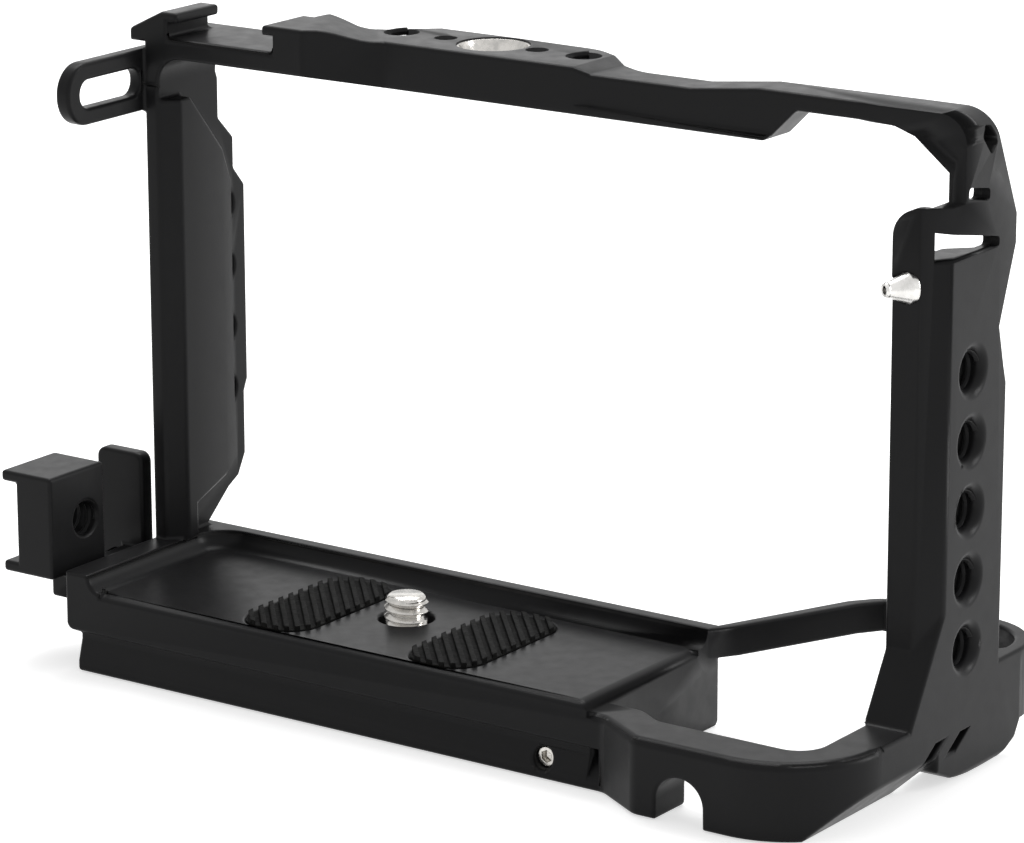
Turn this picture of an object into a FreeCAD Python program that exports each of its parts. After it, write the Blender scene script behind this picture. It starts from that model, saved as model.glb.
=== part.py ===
import FreeCAD, Part
import math
import os
import Sketcher

# Cage for a mirrorless camera. X runs along the tray, from the cable clamp side
# to the hand grip side. Y runs from the photographer's side to the lens side.
# Z is up. The origin is on the axis of the camera screw, level with the tray floor.
# Heights are drawn from the foot's underside, and each piece is then set down by the
# tray's height. All sizes are in millimetres.

SIZES = {
    # Tray that the camera stands on
    "tray_height": 12.0,
    "tray_left": 48.2,
    "tray_right": 41.5,
    "tray_near": 16.5,
    "tray_far": 15.7,
    "tray_end_round": 1.2,
    "near_bevel_run": 1.3,
    "near_bevel_drop": 0.55,
    "end_bevel_run": 1.5,
    "end_bevel_drop": 1.0,
    "rim_height": 2.45,
    "rim_width": 2.6,
    "ridge_width": 4.2,
    "tray_corner": 5.0,
    # Dovetail foot under the tray
    "foot_height": 5.85,
    "foot_neck": 1.25,
    "foot_depth": 3.1,
    "foot_left": 46.2,
    "groove_end": 43.5,
    "groove_far_end": 34.0,
    # Stop screw in the dovetail's near flank
    "stop_place": 34.2,
    "stop_height": 2.8,
    "stop_radius": 1.5,
    "stop_seat": 1.3,
    "stop_length": 5.0,
    # Camera screw and what keeps it in the tray
    "screw_radius": 3.175,
    "screw_reach": 3.4,
    "screw_travel": 2.2,
    "screw_tip_bevel": 0.8,
    "screw_neck": 2.9,
    "screw_thread_run": 0.2,
    "screw_web": 4.6,
    "screw_hole_gap": 0.675,
    "head_radius": 7.6,
    "head_gap": 0.6,
    "coin_slot_width": 1.6,
    "coin_slot_depth": 1.3,
    "hex_across": 4.0,
    "hex_depth": 2.0,
    "washer_thick": 0.8,
    "washer_gap": 0.075,
    "washer_radius": 7.4,
    "washer_room": 0.1,
    "clip_height": 0.6,
    "clip_thick": 1.0,
    "clip_seat": 0.7,
    "clip_width": 2.2,
    "clip_opening": 6.0,
    "clip_gap": 0.1,
    # Ribbed rubber pads
    "pad_width": 11.2,
    "pad_near": 15.0,
    "pad_far": 9.8,
    "pad_place_left": 13.3,
    "pad_place_right": 15.0,
    "pad_corner": 4.4,
    "pad_recess": 0.8,
    "pad_rise": 0.7,
    "rib_valley": 1.2,
    "rib_depth": 0.6,
    "rib_pitch": 2.28,
    "rib_count": 15,
    "rib_slope": 1.14,
    # Loop below the hand grip
    "loop_right": 80.7,
    "loop_near": 21.0,
    "loop_top": 10.7,
    "loop_bar": 7.6,
    "loop_band": 6.8,
    "loop_corner": 15.2,
    "loop_inner_corner": 4.0,
    "loop_step_start": 44.0,
    "loop_step_end": 51.7,
    "loop_root_inner": 11.0,
    "loop_root_end": 47.0,
    "loop_inner_start": 51.0,
    "loop_top_bevel": 0.7,
    "loop_end_round": 3.0,
    "arch_left": 55.2,
    "arch_width": 7.3,
    "arch_top": 6.3,
    "flank_bevel": 5.3,
    "side_end": 29.5,
    "side_taper": 24.0,
    "foot_far": 30.2,
    "foot_heel": 7.0,
    "foot_edge_bevel": 1.0,
    "foot_start": 5.5,
    "corner_wall_low": 4.6,
    "eyelet_near": 4.3,
    "eyelet_pitch": 6.8,
    "eyelet_width": 2.0,
    "eyelet_reach": 3.4,
    "eyelet_low": 4.9,
    "eyelet_high": 7.1,
    "rail_bottom": 10.0,
    "rail_width": 2.2,
    "rail_far": 40.0,
    "rail_corner": 10.4,
    "rail_elbow_x": 50.3,
    "rail_elbow_y": 35.2,
    "rail_bend_x": 54.2,
    "rail_inner_x": 44.2,
    "rail_inner_y": 17.0,
    "rail_bend": 6.0,
    # Right post, beside the hand grip
    "post_near": 6.0,
    "post_inner": 73.5,
    "post_bevel": 3.0,
    "post_far": 24.2,
    "post_foot_near": 0.8,
    "post_foot_top": 19.6,
    "post_pad_far": 18.8,
    "post_flange_top_drop": 11.1,
    "post_flange_round": 4.0,
    "plate_thick": 2.5,
    "waist_far": 21.5,
    "waist_low_drop": 37.2,
    "waist_height_drop": 29.7,
    "bulge_far": 25.6,
    "bulge_height_drop": 18.7,
    "corner_round": 4.0,
    "corner_drop": 7.6,
    "corner_inner_run": 3.0,
    "corner_inner_drop": 1.0,
    "hole_spacing": 9.45,
    "hole_line_y": 15.1,
    "hole_low": 18.5,
    "hole_count": 5,
    "tap_radius": 2.55,
    "tap_bevel": 0.95,
    "cord_slot_near": 12.9,
    "cord_slot_far": 18.4,
    "cord_slot_low_drop": 11.8,
    "cord_slot_fall": 1.0,
    "cord_slot_width": 1.7,
    "strap_slot_near": 7.3,
    "strap_slot_far": 21.2,
    "strap_slot_low_drop": 18.4,
    "strap_slot_near_high_drop": 14.2,
    "strap_slot_far_high_drop": 17.0,
    "strap_slot_round": 0.6,
    "corner_slot_near": 16.9,
    "corner_slot_far": 19.4,
    "corner_slot_high_drop": 2.3,
    "corner_slot_low_drop": 5.1,
    "corner_slot_half": 0.8,
    "flange_back_near": 8.0,
    "flange_back_far": 15.0,
    "flange_back_low_drop": 19.2,
    "lug_screw_x": 75.6,
    "lug_screw_drop": 21.6,
    "lug_screw_base": 2.15,
    "lug_screw_tip": 0.85,
    "lug_screw_proud": 3.2,
    "lug_screw_sunk": 1.1,
    "lug_screw_skew": 30.0,
    "lug_screw_spare": 0.4,
    "lug_screw_shank": 1.25,
    "lug_screw_depth": 3.4,
    "lug_screw_gap": 0.05,
    # Top bar
    "bar_near": 12.0,
    "bar_recess": 0.6,
    "bar_recess_left": 19.6,
    "bar_recess_right": 66.0,
    "bar_recess_run": 2.2,
    "bar_recess_ledge": 0.9,
    "bar_far": 18.8,
    "bar_wide_far": 24.9,
    "bar_wide_end": 15.6,
    "bar_wide_round": 8.0,
    "bar_narrow_start": 26.5,
    "bar_left": 12.0,
    "crown_start": 14.6,
    "crown_end": 5.0,
    "crown_skew": 30.0,
    "bar_bottom_drop": 6.6,
    "bar_top": 90.2,
    "bar_dip_top_drop": 0.9,
    "bar_dip_left": 22.2,
    "bar_dip_right": 38.0,
    "bar_grip_rise": 0.3,
    "bar_grip_start": 48.7,
    "bar_lift_start": 50.0,
    "bar_lift_end": 54.5,
    "bar_lift_bottom_drop": 2.15,
    "bar_end": 70.0,
    "top_hole_y": 19.4,
    "top_hole_left": 14.3,
    "top_hole_right": 16.5,
    "pin_hole_left": 6.7,
    "pin_hole_right": 8.75,
    "pin_hole_radius": 1.65,
    "insert_x": 1.4,
    "insert_radius": 5.2,
    "insert_bore": 3.97,
    "insert_height": 5.2,
    "insert_bevel": 0.9,
    "insert_ledge": 4.3,
    "insert_sink": 0.2,
    # Accessory shoe
    "shoe_left": 50.8,
    "shoe_right": 20.0,
    "shoe_near": 3.8,
    "shoe_far": 17.2,
    "shoe_bottom_drop": 4.6,
    "shoe_floor_drop": 1.65,
    "shoe_rise": 2.0,
    "shoe_centre": 34.65,
    "shoe_channel": 18.7,
    "shoe_opening": 15.0,
    "shoe_lip": 1.4,
    "shoe_mouth_bevel": 0.35,
    "lip_far": 13.5,
    "shoe_wall_bevel_run": 5.7,
    "shoe_wall_bevel_drop": 2.8,
    "shoe_wall_bottom_drop": 2.6,
    "shoe_root_flat": 0.2,
    "shoe_root_drop": 8.6,
    # Strap lug
    "lug_thick": 2.4,
    "lug_near": 12.8,
    "lug_far": 10.0,
    "lug_bottom_drop": 12.5,
    "lug_top_drop": 3.6,
    "lug_slot_round": 1.9,
    "lug_slot_low_drop": 10.1,
    "lug_slot_high_drop": 6.1,
    "lug_slot_near": 10.0,
    "lug_slot_far": 3.2,
    "lug_corner": 4.2,
    # Left plate
    "left_plate_thick": 2.4,
    "left_pad_thick": 2.3,
    "left_near": 3.7,
    "left_far": 23.3,
    "left_far_low": 34.6,
    "left_far_high_drop": 26.3,
    "left_notch_far": 20.9,
    "left_notch_low_drop": 23.5,
    "left_notch_high_drop": 18.9,
    "left_neck_far": 17.6,
    "left_neck_low_drop": 15.6,
    "left_neck_high_drop": 9.7,
    "left_foot_far": 22.5,
    "left_foot_high": 23.4,
    "left_foot_start": 32.8,
    "left_heel_far": 20.8,
    "left_heel_high": 20.2,
    "left_toe_far": 18.4,
    "left_toe_high": 18.9,
    "left_root_far": 13.3,
    "left_pad_far": 15.3,
    "left_pad_foot": 20.0,
    "left_pad_near": 8.4,
    "left_pad_low": 19.4,
    "left_pad_low_far": 24.0,
    "left_pad_high_far_drop": 24.8,
    "left_pad_high_drop": 10.7,
    "left_hole_y": 18.0,
    "left_hole_low": 33.9,
    "left_hole_spacing": 9.2,
    "left_hole_count": 4,
    # Cable clamp bracket
    "clamp_left": 60.5,
    "clamp_right": 51.3,
    "clamp_near": 15.5,
    "clamp_far": 3.7,
    "clamp_bottom": 12.15,
    "clamp_top": 27.2,
    "clamp_web": 57.9,
    "clamp_lip": 1.6,
    "clamp_hole_y": 7.9,
    "clamp_hole_z": 19.7,
    "clamp_ledge_bottom": 8.5,
    "clamp_ledge_rise": 0.05,
    "clamp_ledge_left": 54.6,
    "clamp_ledge_near": 12.0,
    "tab_width": 8.55,
    "tab_right": 50.75,
    "tab_near": 4.3,
    "tab_far": 6.7,
    "tab_top": 26.4,
    "tab_round": 1.5,
    "clamp_screw_radius": 1.5,
    "clamp_screw_bite": 4.5,
    "clamp_screw_near": 9.0,
    "clamp_screw_far": 2.0,
    "clamp_screw_z": 10.3,
}

doc = FreeCAD.newDocument("camera_cage")
sheet = doc.addObject("Spreadsheet::Sheet", "sizes")
for row, (alias, value) in enumerate(SIZES.items(), start=1):
    sheet.set("A%d" % row, alias)
    sheet.set("B%d" % row, str(value))
    sheet.setAlias("B%d" % row, alias)
doc.recompute()


class Size:
    """A length together with the sheet formula that gives it."""

    def __init__(self, value, formula):
        self.value = value
        self.formula = formula

    def __add__(self, other):
        other = as_size(other)
        return Size(self.value + other.value, "(%s + %s)" % (self.formula, other.formula))

    def __sub__(self, other):
        other = as_size(other)
        return Size(self.value - other.value, "(%s - %s)" % (self.formula, other.formula))

    def __mul__(self, factor):
        return Size(self.value * factor, "(%s * %s)" % (self.formula, factor))

    def __neg__(self):
        return self * -1

    def times(self, other):
        return Size(self.value * other.value, "(%s * %s)" % (self.formula, other.formula))


class Sheet:
    """Reads a named cell as a Size."""

    def __getattr__(self, alias):
        return Size(float(sheet.get(alias)), "sizes." + alias)


def as_size(number):
    return number if isinstance(number, Size) else Size(float(number), str(float(number)))


s = Sheet()
ORIGIN = as_size(0)
# A cut starts this far outside the face that it enters.
PAST = as_size(1)
NORMAL = {"XY_Plane": 1, "XZ_Plane": -1, "YZ_Plane": 1}
# Shares of a side: a round that takes nearly all of it, or nearly half of a slot's width
ROUND_SHARE = 0.97
SLOT_SHARE = 0.49
# A hexagon's corner lies this share of its width across flats from its middle
HEX_CORNER = 0.57735
# An edge is picked by a point this far from its end
ON_EDGE = as_size(0.3)
# A cut level with a face goes this far past it
TOUCH = as_size(0.02)
# The rail's inner side cuts its bends short by this share of the rail's width
BEND_INSET = 0.35
# Straight steps in the fall from the shoe's top to the bar's
CROWN_STEPS = 8


def new_body(label):
    """A body whose heights count from the foot's underside."""
    body = doc.addObject("PartDesign::Body", label)
    body.Label = label
    body.setExpression("Placement.Base.z", "-sizes.tray_height")
    return body


def sketch_on(body, name, plane, level):
    """A sketch on one of the body's own planes, moved along its normal to a level."""
    sketch = body.newObject("Sketcher::SketchObject", name)
    support = [item for item in body.Origin.OriginFeatures if item.Role == plane][0]
    sketch.AttachmentSupport = (support, [""])
    sketch.MapMode = "FlatFace"
    sketch.setExpression("AttachmentOffset.Base.z", (as_size(level) * NORMAL[plane]).formula)
    return sketch


def hold(sketch, kind, geometry, point, size):
    """A dimension from the sketch's origin that follows the sheet."""
    size = as_size(size)
    index = sketch.addConstraint(Sketcher.Constraint(kind, geometry, point, size.value))
    sketch.setExpression("Constraints[%d]" % index, size.formula)


def draw_outline(sketch, corners):
    """A closed outline of straight lines through the given corners."""
    corners = [(as_size(u), as_size(v)) for u, v in corners]
    count = len(corners)
    first = sketch.GeometryCount
    for index in range(count):
        start = corners[index]
        end = corners[(index + 1) % count]
        line = Part.LineSegment(FreeCAD.Vector(start[0].value, start[1].value, 0),
                                FreeCAD.Vector(end[0].value, end[1].value, 0))
        sketch.addGeometry(line, False)
    for index in range(count):
        after = first + (index + 1) % count
        sketch.addConstraint(Sketcher.Constraint("Coincident", first + index, 2, after, 1))
    for index in range(count):
        hold(sketch, "DistanceX", first + index, 1, corners[index][0])
        hold(sketch, "DistanceY", first + index, 1, corners[index][1])


def draw_circle(sketch, centre, radius):
    radius = as_size(radius)
    u, v = as_size(centre[0]), as_size(centre[1])
    circle = Part.Circle(FreeCAD.Vector(u.value, v.value, 0), FreeCAD.Vector(0, 0, 1), radius.value)
    index = sketch.addGeometry(circle, False)
    number = sketch.addConstraint(Sketcher.Constraint("Radius", index, radius.value))
    sketch.setExpression("Constraints[%d]" % number, radius.formula)
    hold(sketch, "DistanceX", index, 3, u)
    hold(sketch, "DistanceY", index, 3, v)


def extrude(body, kind, name, plane, start, end):
    """A sketch and the pad or pocket that carries it from start to end along the axis."""
    start, end = as_size(start), as_size(end)
    level = start if NORMAL[plane] > 0 else end
    sketch = sketch_on(body, name + "_sketch", plane, level)
    feature = body.newObject(kind, name)
    feature.Profile = sketch
    feature.setExpression("Length", (end - start).formula)
    if kind == "PartDesign::Pocket":
        feature.Reversed = True
    return sketch, feature


def pad(body, name, plane, start, end, corners):
    sketch, feature = extrude(body, "PartDesign::Pad", name, plane, start, end)
    draw_outline(sketch, corners)
    doc.recompute()
    return feature


def check_cut(body, name, before):
    """Stops at a cut that takes nothing away."""
    doc.recompute()
    if not body.Shape.Volume < before:
        raise RuntimeError(name + " cuts nothing")


def pocket(body, name, plane, start, end, corners):
    before = body.Shape.Volume
    sketch, feature = extrude(body, "PartDesign::Pocket", name, plane, start, end)
    draw_outline(sketch, corners)
    check_cut(body, name, before)
    return feature


def drill(body, name, plane, start, end, centres, radius):
    before = body.Shape.Volume
    sketch, feature = extrude(body, "PartDesign::Pocket", name, plane, start, end)
    for centre in centres:
        draw_circle(sketch, centre, radius)
    check_cut(body, name, before)
    return feature


def rod(body, name, plane, start, end, centre, radius):
    sketch, feature = extrude(body, "PartDesign::Pad", name, plane, start, end)
    draw_circle(sketch, centre, radius)
    doc.recompute()
    return feature


def repeat(body, name, feature, axis, spacing, count):
    """Copies of a feature at a steady spacing along one of the body's axes."""
    pattern = body.newObject("PartDesign::LinearPattern", name)
    pattern.Originals = [feature]
    line = [item for item in body.Origin.OriginFeatures if item.Role == axis][0]
    pattern.Direction = (line, [""])
    pattern.Mode = "Spacing"
    pattern.setExpression("Offset", spacing.formula)
    pattern.setExpression("Occurrences", count.formula)
    body.Tip = pattern
    doc.recompute()
    return pattern


def check(feature):
    """Stops at the first feature that could not be made."""
    doc.recompute()
    if {"Invalid", "Error"} & set(feature.State) or feature.Shape.isNull():
        raise RuntimeError(feature.Name + " could not be made")
    return feature


def edges_through(body, points):
    """The names of the tip's edges that pass through the given points."""
    names = []
    for point in points:
        spot = Part.Vertex(FreeCAD.Vector(*[as_size(value).value for value in point]))
        gaps = [edge.distToShape(spot)[0] for edge in body.Tip.Shape.Edges]
        if min(gaps) > 0.02:
            raise RuntimeError("no edge at (%.2f, %.2f, %.2f)" % tuple(spot.Point))
        name = "Edge%d" % (gaps.index(min(gaps)) + 1)
        if name not in names:
            names.append(name)
    return names


def fillet(body, name, radius, points):
    names = edges_through(body, points)
    base = body.Tip
    feature = body.newObject("PartDesign::Fillet", name)
    feature.Base = (base, names)
    feature.setExpression("Radius", as_size(radius).formula)
    return check(feature)


def chamfer(body, name, size, points):
    names = edges_through(body, points)
    base = body.Tip
    feature = body.newObject("PartDesign::Chamfer", name)
    feature.Base = (base, names)
    feature.setExpression("Size", as_size(size).formula)
    return check(feature)


def revolve(body, name, corners):
    """A solid of revolution about Z from an outline given as radius and height."""
    sketch = sketch_on(body, name + "_sketch", "XZ_Plane", 0)
    draw_outline(sketch, corners)
    feature = body.newObject("PartDesign::Revolution", name)
    feature.Profile = sketch
    feature.ReferenceAxis = (sketch, ["V_Axis"])
    feature.Angle = 360
    doc.recompute()
    return feature


def place(body, x, y, z, turn=None):
    """Puts a finished body at its seat, turned if needed."""
    if turn:
        body.Placement = FreeCAD.Placement(FreeCAD.Vector(), turn)
    for axis, value in zip("xyz", (x, y, z - s.tray_height)):
        body.setExpression("Placement.Base." + axis, as_size(value).formula)
    doc.recompute()


# Heights and faces that several pieces share
floor = s.tray_height
rim_top = floor + s.rim_height
left_face = -s.tray_left
near_face = -s.tray_near
plate_face = left_face + s.left_plate_thick

# Heights of the right post, hung from the top bar
post_flange_top = s.bar_top - s.post_flange_top_drop
waist_low = s.bar_top - s.waist_low_drop
waist_height = s.bar_top - s.waist_height_drop
bulge_height = s.bar_top - s.bulge_height_drop
cord_slot_low = s.bar_top - s.cord_slot_low_drop
strap_slot_low = s.bar_top - s.strap_slot_low_drop
strap_slot_near_high = s.bar_top - s.strap_slot_near_high_drop
strap_slot_far_high = s.bar_top - s.strap_slot_far_high_drop
corner_slot_high = s.bar_top - s.corner_slot_high_drop
corner_slot_low = s.bar_top - s.corner_slot_low_drop
flange_back_low = s.bar_top - s.flange_back_low_drop
lug_screw_z = s.bar_top - s.lug_screw_drop
# Heights of the top bar, hung from the top bar
bar_bottom = s.bar_top - s.bar_bottom_drop
bar_dip_top = s.bar_top - s.bar_dip_top_drop
bar_lift_bottom = s.bar_top - s.bar_lift_bottom_drop
# Heights of the accessory shoe and strap lug, hung from the top bar
shoe_bottom = s.bar_top - s.shoe_bottom_drop
shoe_floor = s.bar_top - s.shoe_floor_drop
shoe_wall_bottom = s.bar_top - s.shoe_wall_bottom_drop
shoe_root = s.bar_top - s.shoe_root_drop
lug_bottom = s.bar_top - s.lug_bottom_drop
lug_top = s.bar_top - s.lug_top_drop
lug_slot_low = s.bar_top - s.lug_slot_low_drop
lug_slot_high = s.bar_top - s.lug_slot_high_drop
# Heights of the left plate, hung from the top bar
left_far_high = s.bar_top - s.left_far_high_drop
left_notch_low = s.bar_top - s.left_notch_low_drop
left_notch_high = s.bar_top - s.left_notch_high_drop
left_neck_low = s.bar_top - s.left_neck_low_drop
left_neck_high = s.bar_top - s.left_neck_high_drop
left_pad_high = s.bar_top - s.left_pad_high_drop
left_pad_high_far = s.bar_top - s.left_pad_high_far_drop
# Faces above the bar's top
bar_grip_top = s.bar_top + s.bar_grip_rise
shoe_top = s.bar_top + s.shoe_rise


def foot_groove(side, edge):
    """Section of the dovetail groove: shoulder, neck and a flank at 45 degrees."""
    deep = edge - s.foot_depth * side
    out = edge + PAST * side
    flank_top = s.foot_height - s.foot_neck
    return [(out, s.foot_height), (deep, s.foot_height), (deep, flank_top),
            (out, flank_top - s.foot_depth - PAST)]


# Tray with a raised rim, dovetail foot and stepped bore for the camera screw
base = new_body("frame_base")
pad(base, "block", "XY_Plane", 0, rim_top,
    [(left_face, near_face), (s.tray_right, near_face), (s.tray_right, s.tray_far),
     (left_face, s.tray_far)])
ridge_face = left_face + s.ridge_width
rim_face = s.tray_far - s.rim_width
pocket(base, "tray_floor", "XY_Plane", floor, rim_top + PAST,
       [(ridge_face, near_face - PAST), (s.tray_right + PAST, near_face - PAST),
        (s.tray_right + PAST, rim_face), (ridge_face, rim_face)])
fillet(base, "tray_corner_round", s.tray_corner, [(ridge_face, rim_face, rim_top - ON_EDGE)])
fillet(base, "rim_foot_round", s.rim_height * ROUND_SHARE, [(ridge_face, 0, floor), (0, rim_face, floor)])
pocket(base, "near_bevel", "YZ_Plane", left_face - PAST, s.tray_right + PAST,
       [(near_face - PAST, floor - s.near_bevel_drop), (near_face, floor - s.near_bevel_drop),
        (near_face + s.near_bevel_run, floor), (near_face + s.near_bevel_run, floor + TOUCH),
        (near_face - PAST, floor + TOUCH)])
pocket(base, "end_bevel", "XZ_Plane", near_face - PAST, rim_face - s.rim_height,
       [(s.tray_right - s.end_bevel_run, floor), (s.tray_right, floor - s.end_bevel_drop),
        (s.tray_right + PAST, floor - s.end_bevel_drop), (s.tray_right + PAST, floor + PAST),
        (s.tray_right - s.end_bevel_run, floor + PAST)])
pocket(base, "near_groove", "YZ_Plane", left_face - PAST, s.tray_right + PAST,
       foot_groove(-1, near_face))
pocket(base, "far_groove", "YZ_Plane", left_face - PAST, s.groove_far_end,
       foot_groove(1, s.tray_far))
pocket(base, "foot_end", "XZ_Plane", near_face - PAST, s.tray_far + PAST,
       [(left_face - PAST, -PAST), (-s.foot_left, -PAST), (-s.foot_left, s.foot_height),
        (left_face - PAST, s.foot_height)])
fillet(base, "end_rounds", s.tray_end_round,
       [(left_face, near_face, floor), (left_face, s.tray_far, floor),
        (left_face, 0, s.foot_height)])
screw_hole = s.screw_radius + s.screw_hole_gap
counterbore = s.head_radius + s.head_gap
bore_top = floor - s.screw_web
clip_top = s.clip_height + s.clip_thick
drill(base, "screw_hole", "XY_Plane", -PAST, floor + PAST, [(0, 0)], screw_hole)
drill(base, "head_bore", "XY_Plane", -PAST, bore_top, [(0, 0)], counterbore)
drill(base, "clip_groove", "XY_Plane", s.clip_height, clip_top, [(0, 0)],
      counterbore + s.clip_seat)
drill(base, "stop_hole", "XZ_Plane", near_face - PAST,
      near_face + s.stop_seat + s.stop_length, [(s.stop_place, s.stop_height)],
      s.stop_radius)


def pad_outline(centre, spare):
    half = s.pad_width * 0.5 + spare
    return [(centre - half, -s.pad_near - spare), (centre + half, -s.pad_near - spare),
            (centre + half, s.pad_far + spare), (centre - half, s.pad_far + spare)]


def pad_corners(centre, height):
    return [(u, v, height) for u, v in pad_outline(centre, ORIGIN)]


pad_places = {"pad_left": -s.pad_place_left, "pad_right": s.pad_place_right}
for label, centre in pad_places.items():
    pocket(base, label + "_recess", "XY_Plane", floor - s.pad_recess, floor + PAST,
           pad_outline(centre, ORIGIN))
    fillet(base, label + "_recess_round", s.pad_corner, pad_corners(centre, floor - ON_EDGE))

# Rubber pads: a rounded slab whose top is cut into slanted ribs
for label, centre in pad_places.items():
    rubber = new_body(label)
    top = floor + s.pad_rise
    pad(rubber, "slab", "XY_Plane", floor - s.pad_recess, top, pad_outline(centre, ORIGIN))
    fillet(rubber, "slab_round", s.pad_corner, pad_corners(centre, floor))
    reach = s.pad_width * 0.5 + PAST
    rise = reach.times(s.rib_slope)
    width = s.rib_valley
    middle = (s.pad_far - s.pad_near) * 0.5
    sketch, valleys = extrude(rubber, "PartDesign::Pocket", "valleys", "XY_Plane",
                              top - s.rib_depth, top + PAST)
    for index in range(int(s.rib_count.value)):
        low = middle - width * 0.5 + s.rib_pitch.times(s.rib_count * -0.5 + 0.5 + index)
        draw_outline(sketch, [(centre - reach, low + rise), (centre + reach, low - rise),
                              (centre + reach, low - rise + width),
                              (centre - reach, low + rise + width)])
    doc.recompute()

# Camera screw with washer and retaining ring
head_bottom = clip_top + s.clip_gap
head_top = bore_top - s.washer_room - s.screw_travel - s.washer_thick
screw_top = floor + s.screw_reach
screw = new_body("camera_screw")
revolve(screw, "turned", [(0, head_bottom), (s.head_radius, head_bottom), (s.head_radius, head_top),
                          (s.screw_neck, head_top), (s.screw_neck, floor - s.screw_thread_run),
                          (s.screw_radius, floor - s.screw_thread_run),
                          (s.screw_radius, screw_top - s.screw_tip_bevel),
                          (s.screw_radius - s.screw_tip_bevel, screw_top), (0, screw_top)])
slot_half = s.coin_slot_width * 0.5
pocket(screw, "coin_slot", "YZ_Plane", -s.head_radius - PAST, s.head_radius + PAST,
       [(-slot_half, head_bottom - PAST), (slot_half, head_bottom - PAST),
        (slot_half, head_bottom + s.coin_slot_depth), (-slot_half, head_bottom + s.coin_slot_depth)])


def hexagon(across):
    """Corners of a hexagon with the given width across its flats."""
    half = across * 0.5
    long = across * HEX_CORNER
    return [(long, 0), (long * 0.5, half), (long * -0.5, half),
            (-long, 0), (long * -0.5, -half), (long * 0.5, -half)]


pocket(screw, "hex_socket", "XY_Plane", head_bottom - PAST, head_bottom + s.hex_depth,
       hexagon(s.hex_across))

washer = new_body("screw_washer")
washer_bore = s.screw_neck + s.washer_gap
revolve(washer, "ring", [(washer_bore, head_top), (s.washer_radius, head_top),
                         (s.washer_radius, head_top + s.washer_thick),
                         (washer_bore, head_top + s.washer_thick)])

clip = new_body("screw_circlip")
clip_outer = counterbore + s.clip_seat
clip_inner = clip_outer - s.clip_width
revolve(clip, "ring", [(clip_inner, s.clip_height), (clip_outer, s.clip_height),
                       (clip_outer, clip_top), (clip_inner, clip_top)])
pocket(clip, "opening", "XY_Plane", s.clip_height - PAST, clip_top + PAST,
       [(clip_inner * 0.5, -s.clip_opening * 0.5), (clip_outer + PAST, -s.clip_opening * 0.5),
        (clip_outer + PAST, s.clip_opening * 0.5), (clip_inner * 0.5, s.clip_opening * 0.5)])

# Stop screw of the dovetail: it lies along Y with its socket towards the near side
stop = new_body("dovetail_stop_screw")
stop_face = near_face + s.stop_seat
rod(stop, "shank", "XZ_Plane", stop_face, stop_face + s.stop_length,
    (s.stop_place, s.stop_height), s.stop_radius)



def slanted_flank():
    """Section of the loop's outer underside, cut away at 45 degrees."""
    return [(s.loop_right - s.flank_bevel - PAST, -PAST), (s.loop_right + PAST, -PAST),
            (s.loop_right + PAST, s.flank_bevel + PAST)]


# Near bar of the grip loop, with its large corner and an arched slot
loop_near_face = -s.loop_near
loop_inner_face = loop_near_face + s.loop_bar
band_face = s.loop_right - s.loop_band
corner_end = loop_near_face + s.loop_corner
near_bar = new_body("frame_loop_near")
pad(near_bar, "bar", "XY_Plane", 0, s.loop_top,
    [(s.tray_right, near_face), (s.loop_step_start, near_face), (s.loop_step_end, loop_near_face),
     (s.loop_right, loop_near_face), (s.loop_right, corner_end), (band_face, corner_end),
     (band_face, loop_inner_face), (s.loop_inner_start, loop_inner_face),
     (s.loop_root_end, -s.loop_root_inner), (s.tray_right, -s.loop_root_inner)])
mid = s.loop_top * 0.5
fillet(near_bar, "outer_corner", s.loop_corner * ROUND_SHARE, [(s.loop_right, loop_near_face, mid)])
fillet(near_bar, "inner_corner", s.loop_inner_corner, [(band_face, loop_inner_face, mid)])
fillet(near_bar, "step_rounds", s.loop_end_round,
       [(s.loop_step_start, near_face, mid), (s.loop_step_end, loop_near_face, mid),
        (s.loop_inner_start, loop_inner_face, mid), (s.loop_root_end, -s.loop_root_inner, mid)])
arch_right = s.arch_left + s.arch_width
pocket(near_bar, "arch", "XZ_Plane", loop_near_face - PAST, loop_inner_face + PAST,
       [(s.arch_left, -PAST), (arch_right, -PAST), (arch_right, s.arch_top),
        (s.arch_left, s.arch_top)])
fillet(near_bar, "arch_round", s.arch_width * SLOT_SHARE,
       [(s.arch_left, loop_near_face + PAST, s.arch_top), (arch_right, loop_near_face + PAST, s.arch_top)])
pocket(near_bar, "near_groove", "YZ_Plane", s.tray_right - PAST, s.groove_end,
       foot_groove(-1, near_face))
pocket(near_bar, "flank", "XZ_Plane", loop_near_face - PAST, corner_end + PAST, slanted_flank())
chamfer(near_bar, "top_bevel", s.loop_top_bevel, [(s.arch_left, loop_near_face, s.loop_top)])

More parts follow.
